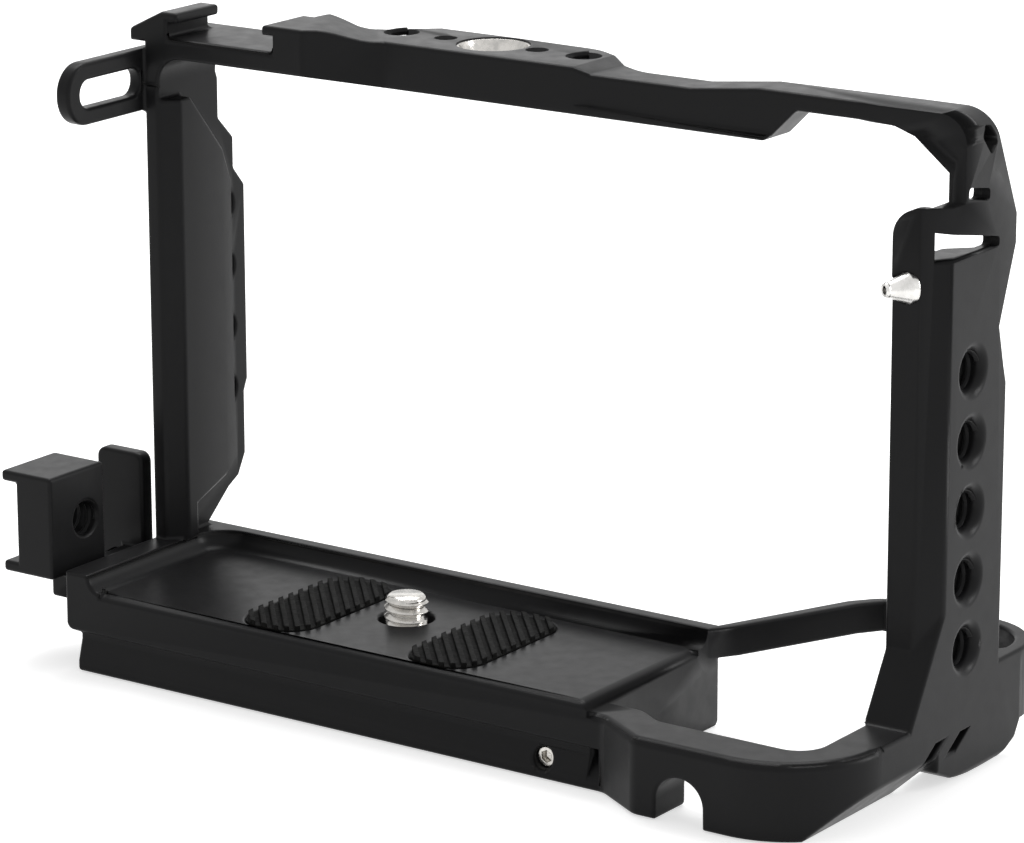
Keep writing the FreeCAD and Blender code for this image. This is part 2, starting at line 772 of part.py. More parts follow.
# Right side of the loop: a band that carries the post, a bulging foot with two cord
# eyelets, and the far corner, whose wall rises to the thin rail
band = new_body("frame_loop_side")
rail_top = rim_top
corner_start = s.loop_right - s.rail_corner
rail_inner = s.rail_far - s.rail_width
wall_inner = s.loop_right - s.rail_width
corner_round = s.rail_corner * ROUND_SHARE
pad(band, "band", "XY_Plane", 0, rail_top,
    [(band_face, corner_end), (s.loop_right, corner_end), (s.loop_right, s.rail_far),
     (corner_start, s.rail_far), (corner_start, rail_inner), (wall_inner, rail_inner),
     (wall_inner, s.side_end), (band_face, s.side_taper)])
wall_mid = rail_top - PAST
fillet(band, "corner_outside", corner_round, [(s.loop_right, s.rail_far, wall_mid)])
fillet(band, "corner_inside", corner_round - s.rail_width, [(wall_inner, rail_inner, wall_mid)])
pocket(band, "low_top", "YZ_Plane", band_face - PAST, s.loop_right + PAST,
       [(corner_end - PAST, s.loop_top), (s.post_far, s.loop_top), (s.post_far, rail_top + PAST),
        (corner_end - PAST, rail_top + PAST)])
foot_span = s.foot_far - s.foot_start
# The foot's underside, as shares of its length and of its heel's height
foot_shape = [(0.1, 0.43), (0.26, 0.17), (0.47, 0.03), (0.63, 0), (0.79, 0.04), (0.93, 0.26)]
pocket(band, "foot_outline", "YZ_Plane", corner_start - PAST, s.loop_right + PAST,
       [(s.foot_start, -PAST), (s.foot_start, 0)]
       + [(s.foot_start + foot_span * u, s.foot_heel * v) for u, v in foot_shape]
       + [(s.foot_far, s.corner_wall_low), (s.rail_far + PAST, s.corner_wall_low),
          (s.rail_far + PAST, -PAST)])
pocket(band, "corner_rise", "XZ_Plane", s.foot_far, s.rail_far + PAST,
       [(corner_start - PAST, 0), (s.loop_right, 0), (wall_inner, s.corner_wall_low),
        (corner_start, s.rail_bottom), (corner_start - PAST, s.rail_bottom)])
pocket(band, "flank", "XZ_Plane", corner_end - PAST, s.foot_start + foot_span * foot_shape[0][0],
       slanted_flank())
pocket(band, "foot_edge", "XZ_Plane", s.foot_start, s.rail_far,
       [(s.loop_right - s.foot_edge_bevel - PAST, -PAST), (s.loop_right + PAST, -PAST),
        (s.loop_right + PAST, s.foot_edge_bevel + PAST)])
for number in range(2):
    near = s.eyelet_near + s.eyelet_pitch * number
    pocket(band, "eyelet_%d" % number, "YZ_Plane", band_face - PAST, s.loop_right + PAST,
           [(near, s.eyelet_low), (near + s.eyelet_width, s.eyelet_low),
            (near + s.eyelet_width + s.eyelet_reach, s.eyelet_high), (near + s.eyelet_reach, s.eyelet_high)])

# Thin rail that closes the loop on the lens side
rail = new_body("frame_loop_rail")
pad(rail, "rail", "XY_Plane", s.rail_bottom, rail_top,
    [(s.tray_right, s.tray_far), (s.rail_elbow_x, s.rail_elbow_y), (s.rail_bend_x, s.rail_far),
     (corner_start, s.rail_far), (corner_start, rail_inner),
     (s.rail_bend_x + s.rail_width * BEND_INSET, rail_inner),
     (s.rail_elbow_x + s.rail_width, s.rail_elbow_y - s.rail_width * BEND_INSET),
     (s.rail_inner_x, s.rail_inner_y), (s.tray_right, rim_face)])
fillet(rail, "bends", s.rail_bend,
       [(s.rail_elbow_x, s.rail_elbow_y, wall_mid), (s.rail_bend_x, s.rail_far, wall_mid)])

# Right post: a bevelled upright with five accessory holes, thinning to a plate
# that carries three strap slots and turns into the top bar
post = new_body("frame_right_post")
post_outer = s.loop_right
plate_inner = post_outer - s.plate_thick
pad(post, "side_view", "YZ_Plane", s.bar_end, post_outer,
    [(s.post_foot_near, s.loop_top), (s.post_near, s.post_foot_top), (s.post_near, post_flange_top),
     (s.bar_near, post_flange_top), (s.bar_near, bar_grip_top), (s.bar_far, bar_grip_top),
     (s.bulge_far, bulge_height + s.corner_round), (s.bulge_far, bulge_height),
     (s.waist_far, waist_height), (s.post_far, waist_low), (s.post_far, s.loop_top)])
pocket(post, "inner_side", "XZ_Plane", s.post_foot_near - PAST, s.bulge_far + PAST,
       [(s.bar_end - PAST, s.loop_top - PAST), (s.post_inner, s.loop_top - PAST),
        (s.post_inner, post_flange_top), (plate_inner, post_flange_top),
        (plate_inner, bar_grip_top - s.corner_drop),
        (s.bar_end + s.corner_inner_run, bar_lift_bottom - s.corner_inner_drop),
        (s.bar_end, bar_lift_bottom), (s.bar_end - PAST, bar_lift_bottom)])
pocket(post, "pad_taper", "XY_Plane", s.loop_top - PAST, post_flange_top,
       [(s.post_inner - PAST, s.post_pad_far - PAST),
        (plate_inner, s.post_pad_far + plate_inner - s.post_inner),
        (plate_inner, s.bulge_far + PAST), (s.post_inner - PAST, s.bulge_far + PAST)])
pocket(post, "flange_back", "YZ_Plane", s.bar_end - PAST, plate_inner,
       [(s.flange_back_near, post_flange_top + PAST), (s.flange_back_near, post_flange_top),
        (s.flange_back_far, flange_back_low), (s.bulge_far + PAST, flange_back_low),
        (s.bulge_far + PAST, post_flange_top + PAST)])
chamfer(post, "near_bevel", s.post_bevel, [(post_outer, s.post_near, waist_low)])
fillet(post, "outer_corner", s.corner_round, [(post_outer, s.bar_near + ON_EDGE, bar_grip_top)])
fillet(post, "flange_round", s.post_flange_round,
       [(s.post_inner, s.post_near + ON_EDGE, post_flange_top)])
hole = drill(post, "side_hole", "YZ_Plane", s.post_inner - PAST, post_outer + PAST,
             [(s.hole_line_y, s.hole_low)], s.tap_radius)
repeat(post, "side_holes", hole, "Z_Axis", s.hole_spacing, s.hole_count)


def slot_box(near, far, low, high):
    return [(near, low), (far, low), (far, high), (near, high)]


half = s.corner_slot_half
strap_slots = {
    "strap_slot": [(s.strap_slot_near, strap_slot_low), (s.strap_slot_far, strap_slot_low),
                   (s.strap_slot_far, strap_slot_far_high),
                   (s.strap_slot_near, strap_slot_near_high)],
    "cord_slot": [(s.cord_slot_near, cord_slot_low + s.cord_slot_fall),
                  (s.cord_slot_far, cord_slot_low),
                  (s.cord_slot_far, cord_slot_low + s.cord_slot_width),
                  (s.cord_slot_near, cord_slot_low + s.cord_slot_fall + s.cord_slot_width)],
    "corner_slot": [(s.corner_slot_near - half, corner_slot_high - half),
                    (s.corner_slot_far - half, corner_slot_low - half),
                    (s.corner_slot_far + half, corner_slot_low + half),
                    (s.corner_slot_near + half, corner_slot_high + half)],
}
for name, corners in strap_slots.items():
    pocket(post, name, "YZ_Plane", s.bar_end - PAST, post_outer + PAST, corners)
    # The strap slot's near end runs out through the near bevel and stays square
    rounded = corners[1:3] if name == "strap_slot" else corners
    fillet(post, name + "_round", s.strap_slot_round,
           [(post_outer - s.plate_thick * ROUND_SHARE, y, z) for y, z in rounded])
chamfer(post, "side_hole_bevels", s.tap_bevel,
        [(post_outer, s.hole_line_y + s.tap_radius, s.hole_low + s.hole_spacing * index)
         for index in range(int(s.hole_count.value))])


def bore(body, name, top, depth, radius):
    """A round hole along the locking screw's slanted axis, from a point beyond its mouth."""
    cut = body.newObject("PartDesign::SubtractiveCylinder", name)
    cut.Placement = FreeCAD.Placement(FreeCAD.Vector(), lug_screw_turn)
    length = top + depth
    for axis, start, share in (("x", s.lug_screw_x, math.sin(skew)), ("y", s.post_near, math.cos(skew))):
        cut.setExpression("Placement.Base." + axis, (start + depth * share).formula)
    cut.setExpression("Placement.Base.z", lug_screw_z.formula)
    cut.setExpression("Radius", radius.formula)
    cut.setExpression("Height", length.formula)
    return check(cut)


# The locking screw leans from the post's near face towards the camera space
skew = math.radians(s.lug_screw_skew.value)
lug_screw_axis = FreeCAD.Vector(-math.sin(skew), -math.cos(skew), 0)
lug_screw_turn = FreeCAD.Rotation(FreeCAD.Vector(0, 0, 1), lug_screw_axis)
bore(post, "lug_screw_hole", PAST, s.lug_screw_depth + s.lug_screw_spare,
     s.lug_screw_shank + s.lug_screw_gap)
bore(post, "lug_screw_seat", s.lug_screw_proud, s.lug_screw_sunk, s.lug_screw_base + s.lug_screw_gap)

# Locking screw for a strap lug: its cone stands proud of the post's near corner
lug_screw = new_body("lug_lock_screw")
seat_level = -s.lug_screw_sunk
revolve(lug_screw, "turned",
        [(0, -s.lug_screw_depth), (s.lug_screw_shank, -s.lug_screw_depth),
         (s.lug_screw_shank, seat_level), (s.lug_screw_base, seat_level), (s.lug_screw_base, 0),
         (s.lug_screw_tip, s.lug_screw_proud), (0, s.lug_screw_proud)])
place(lug_screw, s.lug_screw_x, s.post_near, lug_screw_z, lug_screw_turn)


def crown(body):
    """The skewed fall from the shoe's top to the bar's, shaped like half a wave."""
    sketch = sketch_on(body, "crown_sketch", "XZ_Plane", 0)
    turn = FreeCAD.Rotation(FreeCAD.Vector(0, 1, 0), s.crown_skew.value)
    sketch.AttachmentOffset = FreeCAD.Placement(FreeCAD.Vector(), turn)
    cut = body.newObject("PartDesign::Pocket", "crown")
    cut.Profile = sketch
    cut.Midplane = True
    cut.setExpression("Length", (s.bar_end * 2).formula)
    width = s.crown_start - s.crown_end
    fall = shoe_top - s.bar_top
    corners = []
    for index in range(CROWN_STEPS + 1):
        share = index / CROWN_STEPS
        corners.append((width * share - s.crown_start,
                        shoe_top - fall * (0.5 - 0.5 * math.cos(math.pi * share))))
    draw_outline(sketch, corners + [(s.crown_start, s.bar_top), (s.crown_start, shoe_top + PAST),
                                    (-s.crown_start, shoe_top + PAST)])
    check(cut)


# Top bar, from the angled end beside the shoe to the right corner
bar = new_body("frame_top_bar")
angled_end = -s.shoe_right
bar_start = -s.bar_left
pad(bar, "front_view", "XZ_Plane", s.shoe_near, s.bar_wide_far,
    [(angled_end, shoe_bottom), (bar_start, bar_bottom), (s.bar_lift_start, bar_bottom),
     (s.bar_lift_end, bar_lift_bottom), (s.bar_end, bar_lift_bottom),
     (s.bar_end, bar_grip_top), (s.bar_grip_start, bar_grip_top),
     (s.bar_dip_right, bar_dip_top), (s.bar_dip_left, bar_dip_top),
     (s.bar_recess_left, s.bar_top), (bar_start + s.bar_left, s.bar_top),
     (bar_start + s.bar_left, shoe_top), (angled_end, shoe_top)])
pocket(bar, "near_side", "XY_Plane", bar_bottom - PAST, shoe_top + PAST,
       [(angled_end, s.shoe_near), (angled_end, s.shoe_near - PAST), (s.bar_end + PAST, s.shoe_near - PAST),
        (s.bar_end + PAST, s.bar_near), (bar_start, s.bar_near)])
pocket(bar, "far_side", "XY_Plane", bar_bottom - PAST, shoe_top + PAST,
       [(s.bar_wide_end, s.bar_wide_far), (s.bar_narrow_start, s.bar_far),
        (s.bar_end + PAST, s.bar_far), (s.bar_end + PAST, s.bar_wide_far + PAST),
        (s.bar_wide_end, s.bar_wide_far + PAST)])
fillet(bar, "far_rounds", s.bar_wide_round,
       [(s.bar_wide_end, s.bar_wide_far, bar_bottom + PAST),
        (s.bar_narrow_start, s.bar_far, bar_bottom + PAST)])
pocket(bar, "near_recess", "XY_Plane", bar_bottom + s.bar_recess_ledge, bar_grip_top + PAST,
       [(s.bar_recess_left, s.bar_near), (s.bar_recess_left, s.bar_near - PAST),
        (s.bar_recess_right, s.bar_near - PAST), (s.bar_recess_right, s.bar_near),
        (s.bar_recess_right - s.bar_recess_run, s.bar_near + s.bar_recess),
        (s.bar_recess_left + s.bar_recess_run, s.bar_near + s.bar_recess)])
pocket(bar, "far_left_side", "XY_Plane", bar_bottom - PAST, shoe_top + PAST,
       [(angled_end - PAST, s.shoe_far), (angled_end, s.shoe_far),
        (bar_start, s.bar_wide_far), (bar_start, s.bar_wide_far + PAST),
        (angled_end - PAST, s.bar_wide_far + PAST)])
crown(bar)
drill(bar, "accessory_holes", "XY_Plane", bar_bottom - PAST, shoe_top + PAST,
      [(-s.top_hole_left, s.top_hole_y), (s.top_hole_right, s.top_hole_y)], s.tap_radius)
drill(bar, "pin_holes", "XY_Plane", bar_bottom - PAST, shoe_top + PAST,
      [(-s.pin_hole_left, s.top_hole_y), (s.pin_hole_right, s.top_hole_y)], s.pin_hole_radius)
insert_top = s.bar_top - s.insert_sink
insert_bottom = insert_top - s.insert_height
drill(bar, "insert_bore", "XY_Plane", insert_bottom, s.bar_top + PAST,
      [(s.insert_x, s.top_hole_y)], s.insert_radius)
drill(bar, "insert_ledge", "XY_Plane", bar_bottom - PAST, insert_bottom,
      [(s.insert_x, s.top_hole_y)], s.insert_ledge)

# Threaded steel insert in the top bar
insert = new_body("top_insert")
revolve(insert, "ring", [(s.insert_bore, insert_bottom), (s.insert_radius, insert_bottom),
                         (s.insert_radius, insert_top), (s.insert_bore + s.insert_bevel, insert_top),
                         (s.insert_bore, insert_top - s.insert_bevel)])
place(insert, s.insert_x, s.top_hole_y, ORIGIN)

# Accessory shoe: floor, side walls and two lips, with the round down to the left plate
shoe = new_body("frame_shoe")
shoe_left = -s.shoe_left
pad(shoe, "front_view", "XZ_Plane", s.shoe_near, s.shoe_far,
    [(left_face, shoe_root), (plate_face, shoe_root), (plate_face, shoe_bottom),
     (angled_end, shoe_bottom), (angled_end, shoe_top),
     (shoe_left + s.shoe_wall_bevel_run, shoe_top),
     (shoe_left, shoe_top - s.shoe_wall_bevel_drop), (shoe_left, shoe_wall_bottom),
     (left_face, shoe_wall_bottom)])
crown(shoe)
fillet(shoe, "root_round", shoe_bottom - shoe_root - s.shoe_root_flat,
       [(plate_face, s.shoe_near + ON_EDGE, shoe_bottom)])
channel_left = -s.shoe_centre - s.shoe_channel * 0.5
channel_right = -s.shoe_centre + s.shoe_channel * 0.5
opening_left = -s.shoe_centre - s.shoe_opening * 0.5
opening_right = -s.shoe_centre + s.shoe_opening * 0.5
lip_bottom = shoe_top - s.shoe_lip
pocket(shoe, "channel", "XZ_Plane", s.shoe_near - PAST, s.shoe_far + PAST,
       [(channel_left, shoe_floor), (channel_right, shoe_floor), (channel_right, lip_bottom),
        (opening_right, lip_bottom), (opening_right, shoe_top + PAST),
        (opening_left, shoe_top + PAST), (opening_left, lip_bottom), (channel_left, lip_bottom)])
pocket(shoe, "wall_end", "XZ_Plane", s.lip_far, s.shoe_far + PAST,
       [(shoe_left - PAST, shoe_floor), (channel_right, shoe_floor), (channel_right, shoe_top + PAST),
        (shoe_left - PAST, shoe_top + PAST)])
chamfer(shoe, "mouth_bevel", s.shoe_mouth_bevel, [(-s.shoe_centre, s.shoe_near, shoe_floor)])

# Strap lug on the outer side of the left plate
lug = new_body("frame_strap_lug")
lug_outer = left_face - s.lug_thick
lug_near = -s.lug_near
pad(lug, "plate", "YZ_Plane", lug_outer, left_face,
    slot_box(lug_near, s.lug_far, lug_bottom, lug_top))
lug_mid = lug_outer + s.lug_thick * 0.5
fillet(lug, "near_rounds", s.lug_corner,
       [(lug_mid, lug_near, lug_bottom), (lug_mid, lug_near, lug_top)])
lug_slot = slot_box(-s.lug_slot_near, s.lug_slot_far, lug_slot_low, lug_slot_high)
pocket(lug, "strap_hole", "YZ_Plane", lug_outer - PAST, left_face + PAST, lug_slot)
fillet(lug, "strap_hole_rounds", s.lug_slot_round, [(lug_mid, y, z) for y, z in lug_slot])

# Left plate: a stepped plate with a thicker pad towards the camera
left = new_body("frame_left_plate")
pad(left, "plate", "YZ_Plane", left_face, plate_face,
    [(s.left_near, rim_top), (s.left_root_far, rim_top), (s.left_toe_far, s.left_toe_high),
     (s.left_heel_far, s.left_heel_high), (s.left_foot_far, s.left_foot_high),
     (s.left_foot_far, s.left_foot_start), (s.left_far, s.left_far_low),
     (s.left_far, left_far_high), (s.left_notch_far, left_notch_low),
     (s.left_notch_far, left_notch_high), (s.left_neck_far, left_neck_low),
     (s.left_neck_far, left_neck_high), (s.shoe_far, shoe_root), (s.left_near, shoe_root)])
pad_face = plate_face + s.left_pad_thick
pad(left, "thick_pad", "YZ_Plane", plate_face, pad_face,
    [(s.left_near, rim_top), (s.left_pad_near, rim_top), (s.left_pad_near, s.left_pad_low),
     (s.left_pad_foot, s.left_pad_low_far), (s.left_pad_foot, left_pad_high_far),
     (s.left_pad_near, left_pad_high), (s.left_near, left_pad_high)])
pocket(left, "pad_slope", "XY_Plane", rim_top - PAST, left_pad_high + PAST,
       [(plate_face, s.left_pad_foot), (pad_face, s.left_pad_far), (pad_face + PAST, s.left_pad_far),
        (pad_face + PAST, s.left_pad_foot)])
chamfer(left, "near_bevel", s.left_pad_thick, [(pad_face, s.left_near, s.left_far_low)])
hole = drill(left, "side_hole", "YZ_Plane", left_face - PAST, plate_face,
             [(s.left_hole_y, s.left_hole_low)], s.tap_radius)
repeat(left, "side_holes", hole, "Z_Axis", s.left_hole_spacing, s.left_hole_count)

# Cable clamp bracket: a channel block and an upright tab on one ledge
clamp = new_body("cable_bracket")
clamp_left = -s.clamp_left
clamp_right = -s.clamp_right
tab_right = -s.tab_right
tab_left = tab_right - s.tab_width
pad(clamp, "block", "XZ_Plane", -s.clamp_near, -s.clamp_far,
    [(clamp_left, s.clamp_bottom), (clamp_right, s.clamp_bottom), (clamp_right, s.clamp_top),
     (clamp_left, s.clamp_top), (clamp_left, s.clamp_top - s.clamp_lip),
     (-s.clamp_web, s.clamp_top - s.clamp_lip), (-s.clamp_web, s.clamp_bottom + s.clamp_lip),
     (clamp_left, s.clamp_bottom + s.clamp_lip)])
pad(clamp, "ledge", "XY_Plane", s.clamp_ledge_bottom, s.clamp_bottom + s.clamp_ledge_rise,
    [(-s.clamp_ledge_left, -s.clamp_ledge_near), (left_face, -s.clamp_ledge_near),
     (left_face, s.tab_far), (tab_left, s.tab_far), (tab_left, s.tab_near),
     (-s.clamp_ledge_left, s.tab_near)])
pad(clamp, "tab", "XZ_Plane", s.tab_near, s.tab_far,
    [(tab_left, s.clamp_bottom), (tab_right, s.clamp_bottom), (tab_right, s.tab_top),
     (tab_left, s.tab_top)])
fillet(clamp, "tab_rounds", s.tab_round,
       [(tab_left, s.tab_near + ON_EDGE, s.tab_top), (tab_right, s.tab_near + ON_EDGE, s.tab_top)])
drill(clamp, "clamp_hole", "YZ_Plane", -s.clamp_web - PAST, clamp_right + PAST,
      [(-s.clamp_hole_y, s.clamp_hole_z)], s.tap_radius)

# Screws that hold the bracket to the end of the tray, flush with its ledge
for label, y in {"bracket_screw_near": -s.clamp_screw_near, "bracket_screw_far": s.clamp_screw_far}.items():
    centre = (y, s.clamp_screw_z)
    tip = left_face + s.clamp_screw_bite
    for piece in (clamp, base):
        drill(piece, label + "_hole", "YZ_Plane", -s.clamp_ledge_left - PAST, tip, [centre],
              s.clamp_screw_radius)
    fastener = new_body(label)
    rod(fastener, "shank", "YZ_Plane", -s.clamp_ledge_left, tip, centre, s.clamp_screw_radius)

# Every object must have been built, and every piece must be one sound solid
problems = [item.Name for item in doc.Objects if {"Invalid", "Error"} & set(item.State)]
bodies = [item for item in doc.Objects if item.TypeId == "PartDesign::Body"]
for body in bodies:
    if body.Shape.isNull() or not body.Shape.isValid() or len(body.Shape.Solids) != 1:
        problems.append(body.Label)
if problems:
    raise RuntimeError("not built: " + ", ".join(problems))
os.makedirs("parts", exist_ok=True)
for body in bodies:
    body.Shape.exportStep("parts/%s.step" % body.Label)
    box = body.Shape.BoundBox
    print("%-20s %7.2f..%7.2f %7.2f..%7.2f %7.2f..%7.2f volume %9.1f" % (
        body.Label, box.XMin, box.XMax, box.YMin, box.YMax, box.ZMin, box.ZMax, body.Shape.Volume))
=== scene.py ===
import math

import bmesh
import bpy
from mathutils import Matrix, Vector


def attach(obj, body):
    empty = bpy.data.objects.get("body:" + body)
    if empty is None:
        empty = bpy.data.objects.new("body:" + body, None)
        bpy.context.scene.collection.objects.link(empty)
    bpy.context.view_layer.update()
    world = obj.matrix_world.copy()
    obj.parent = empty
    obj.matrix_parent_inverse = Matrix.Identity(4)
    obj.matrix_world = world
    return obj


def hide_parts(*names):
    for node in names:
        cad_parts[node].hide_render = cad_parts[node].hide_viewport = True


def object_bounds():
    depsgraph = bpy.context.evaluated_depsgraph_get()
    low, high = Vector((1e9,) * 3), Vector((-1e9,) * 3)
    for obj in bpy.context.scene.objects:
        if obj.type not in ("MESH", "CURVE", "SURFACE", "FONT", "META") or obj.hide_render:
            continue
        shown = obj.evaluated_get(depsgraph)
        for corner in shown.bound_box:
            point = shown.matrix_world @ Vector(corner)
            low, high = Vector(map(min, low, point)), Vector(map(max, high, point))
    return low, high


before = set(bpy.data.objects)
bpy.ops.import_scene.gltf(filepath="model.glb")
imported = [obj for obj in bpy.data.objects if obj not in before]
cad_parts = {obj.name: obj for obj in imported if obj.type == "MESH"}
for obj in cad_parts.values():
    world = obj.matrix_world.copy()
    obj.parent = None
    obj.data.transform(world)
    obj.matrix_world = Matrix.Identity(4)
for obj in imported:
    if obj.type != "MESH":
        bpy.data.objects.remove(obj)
cad_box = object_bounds()
scene = bpy.context.scene
scene.view_settings.view_transform = "Standard"


# The camera stands behind the cage on its grip side, a little above it, with a long lens that
# keeps the uprights nearly parallel.
eye = Vector((0.37103, -0.50225, 0.20048))
to_camera = Vector((0.55431, -0.78870, 0.26589)).normalized()
camera_right = Vector((0.81847, 0.57455, -0.00202)).normalized()
camera_up = to_camera.cross(camera_right)
lens = bpy.data.cameras.new("long_lens")
lens.sensor_width = 36
lens.lens = 165.23
camera = bpy.data.objects.new("long_lens", lens)
camera.matrix_world = Matrix((
    (camera_right.x, camera_up.x, to_camera.x, eye.x),
    (camera_right.y, camera_up.y, to_camera.y, eye.y),
    (camera_right.z, camera_up.z, to_camera.z, eye.z),
    (0, 0, 0, 1)))
scene.collection.objects.link(camera)
scene.camera = camera


# The table is a pale sheet just under the foot, and the studio round it is as pale. Both show
# white to the camera and in the metal, and the sheet still takes the cage's soft shadow.
def white_to_the_camera(nodes, links):
    """A switch that is 1 for what the camera, metal or glass sees, and 0 for plain light."""
    path = nodes.new("ShaderNodeLightPath")
    metal_too = nodes.new("ShaderNodeMath")
    metal_too.operation = "MAXIMUM"
    links.new(path.outputs["Is Camera Ray"], metal_too.inputs[0])
    links.new(path.outputs["Is Glossy Ray"], metal_too.inputs[1])
    glass_too = nodes.new("ShaderNodeMath")
    glass_too.operation = "MAXIMUM"
    links.new(metal_too.outputs[0], glass_too.inputs[0])
    links.new(path.outputs["Is Transmission Ray"], glass_too.inputs[1])
    return glass_too.outputs[0]


def placed(name, mesh):
    """The mesh as an object of the scene, at the origin."""
    piece = bpy.data.objects.new(name, mesh)
    scene.collection.objects.link(piece)
    return piece


sheet_paper = bpy.data.materials.new("table_sheet")
sheet_paper.use_nodes = True
nodes, links = sheet_paper.node_tree.nodes, sheet_paper.node_tree.links
nodes.clear()
paper_out = nodes.new("ShaderNodeOutputMaterial")
paper = nodes.new("ShaderNodeBsdfDiffuse")
paper.inputs["Color"].default_value = (0.8, 0.8, 0.8, 1)
paper_glow = nodes.new("ShaderNodeEmission")
paper_glow.inputs["Strength"].default_value = 0.6
paper_both = nodes.new("ShaderNodeAddShader")
paper_choice = nodes.new("ShaderNodeMixShader")
links.new(paper.outputs[0], paper_both.inputs[0])
links.new(paper_glow.outputs[0], paper_both.inputs[1])
links.new(white_to_the_camera(nodes, links), paper_choice.inputs[0])
links.new(paper.outputs[0], paper_choice.inputs[1])
links.new(paper_both.outputs[0], paper_choice.inputs[2])
links.new(paper_choice.outputs[0], paper_out.inputs[0])
sheet_half, sheet_gap = 3.0, 0.0002
sheet_level = cad_box[0][2] - sheet_gap
sheet_mesh = bpy.data.meshes.new("table_sheet")
sheet_mesh.from_pydata([(-sheet_half, -sheet_half, sheet_level), (sheet_half, -sheet_half, sheet_level),
                        (sheet_half, sheet_half, sheet_level), (-sheet_half, sheet_half, sheet_level)],
                       [], [(0, 1, 2, 3)])
sheet_mesh.materials.append(sheet_paper)
table_sheet = placed("table_sheet", sheet_mesh)

studio = bpy.data.worlds.new("studio")
scene.world = studio
studio.use_nodes = True
nodes, links = studio.node_tree.nodes, studio.node_tree.links
studio_light = nodes["Background"]
studio_light.inputs["Color"].default_value = (1, 1, 1, 1)
studio_light.inputs["Strength"].default_value = 0.5
studio_white = nodes.new("ShaderNodeBackground")
studio_white.inputs["Color"].default_value = (1, 1, 1, 1)
studio_white.inputs["Strength"].default_value = 1.0
studio_choice = nodes.new("ShaderNodeMixShader")
links.new(white_to_the_camera(nodes, links), studio_choice.inputs[0])
links.new(studio_light.outputs[0], studio_choice.inputs[1])
links.new(studio_white.outputs[0], studio_choice.inputs[2])
links.new(studio_choice.outputs[0], nodes["World Output"].inputs[0])


def soft_box(name, place, target, width, height, power):
    """A rectangular studio lamp that faces a point of the cage."""
    light = bpy.data.lights.new(name, "AREA")
    light.shape = "RECTANGLE"
    light.size = width
    light.size_y = height
    light.energy = power
    lamp = bpy.data.objects.new(name, light)
    lamp.location = place
    lamp.rotation_euler = (Vector(target) - Vector(place)).to_track_quat("-Z", "Y").to_euler()
    lamp.visible_camera = False
    scene.collection.objects.link(lamp)


soft_box("low_lamp", place=(-0.27, 0.34, 0.13), target=(-0.03, 0, 0), width=0.3, height=0.14, power=0.06)
soft_box("over_lamp", place=(-0.25, 0.35, 0.9), target=(0, 0, 0.02), width=0.7, height=0.5, power=7)
soft_box("grip_side_lamp", place=(0.85, 0.55, 0.35), target=(0.07, 0, 0.02),
         width=0.25, height=0.5, power=5)


# The cage's frame is milled from one block of aluminium, blasted to a fine satin and anodised
# black. Its edges are painted paler, partly as the thinner film where hands and bags rub,
# partly as a painted highlight along every edge.
def grain(nodes, links, place, scale, detail):
    """A fine noise that stays on the piece."""
    noise = nodes.new("ShaderNodeTexNoise")
    noise.inputs["Scale"].default_value = scale
    noise.inputs["Detail"].default_value = detail
    links.new(place, noise.inputs["Vector"])
    return noise.outputs["Fac"]


def spread(nodes, links, value, start, end, low, high):
    """Turns the part of a value between start and end into low to high."""
    ramp = nodes.new("ShaderNodeMapRange")
    ramp.inputs["From Min"].default_value = start
    ramp.inputs["From Max"].default_value = end
    ramp.inputs["To Min"].default_value = low
    ramp.inputs["To Max"].default_value = high
    links.new(value, ramp.inputs["Value"])
    return ramp.outputs["Result"]


def two_tones(nodes, links, share, first, second):
    """A colour between two others."""
    mix = nodes.new("ShaderNodeMix")
    mix.data_type = "RGBA"
    links.new(share, mix.inputs["Factor"])
    mix.inputs["A"].default_value = (*first, 1)
    mix.inputs["B"].default_value = (*second, 1)
    return mix.outputs["Result"]


def softened_edge(nodes, radius):
    """The light that a broken edge catches: a normal that turns over the edge."""
    bevel = nodes.new("ShaderNodeBevel")
    bevel.samples = 6
    bevel.inputs["Radius"].default_value = radius
    return bevel.outputs["Normal"]


def rubbed_and_highlit_share(nodes, links, edge_normal, patches):
    """How far an edge is painted paler, as rubbed wear and as painted highlight: most where the normal
    turns, and in patches.
    """
    face = nodes.new("ShaderNodeNewGeometry")
    turn = nodes.new("ShaderNodeVectorMath")
    turn.operation = "DOT_PRODUCT"
    links.new(edge_normal, turn.inputs[0])
    links.new(face.outputs["Normal"], turn.inputs[1])
    edge = spread(nodes, links, turn.outputs["Value"], start=0.98, end=0.75, low=0, high=1)
    both = nodes.new("ShaderNodeMath")
    both.operation = "MULTIPLY"
    links.new(edge, both.inputs[0])
    links.new(spread(nodes, links, patches, start=0.4, end=0.62, low=0.25, high=1), both.inputs[1])
    return both.outputs[0]


def surface(name):
    """A new material with its nodes, its links, its shader and its Object coordinates."""
    material = bpy.data.materials.new(name)
    material.use_nodes = True
    nodes, links = material.node_tree.nodes, material.node_tree.links
    place = nodes.new("ShaderNodeTexCoord").outputs["Object"]
    return material, nodes, links, nodes["Principled BSDF"], place


def raised(nodes, links, height, strength, depth, edge_normal, shader):
    """Gives the shader a fine relief on top of the softened edge."""
    bump = nodes.new("ShaderNodeBump")
    bump.inputs["Strength"].default_value = strength
    bump.inputs["Distance"].default_value = depth
    links.new(height, bump.inputs["Height"])
    links.new(edge_normal, bump.inputs["Normal"])
    links.new(bump.outputs["Normal"], shader.inputs["Normal"])


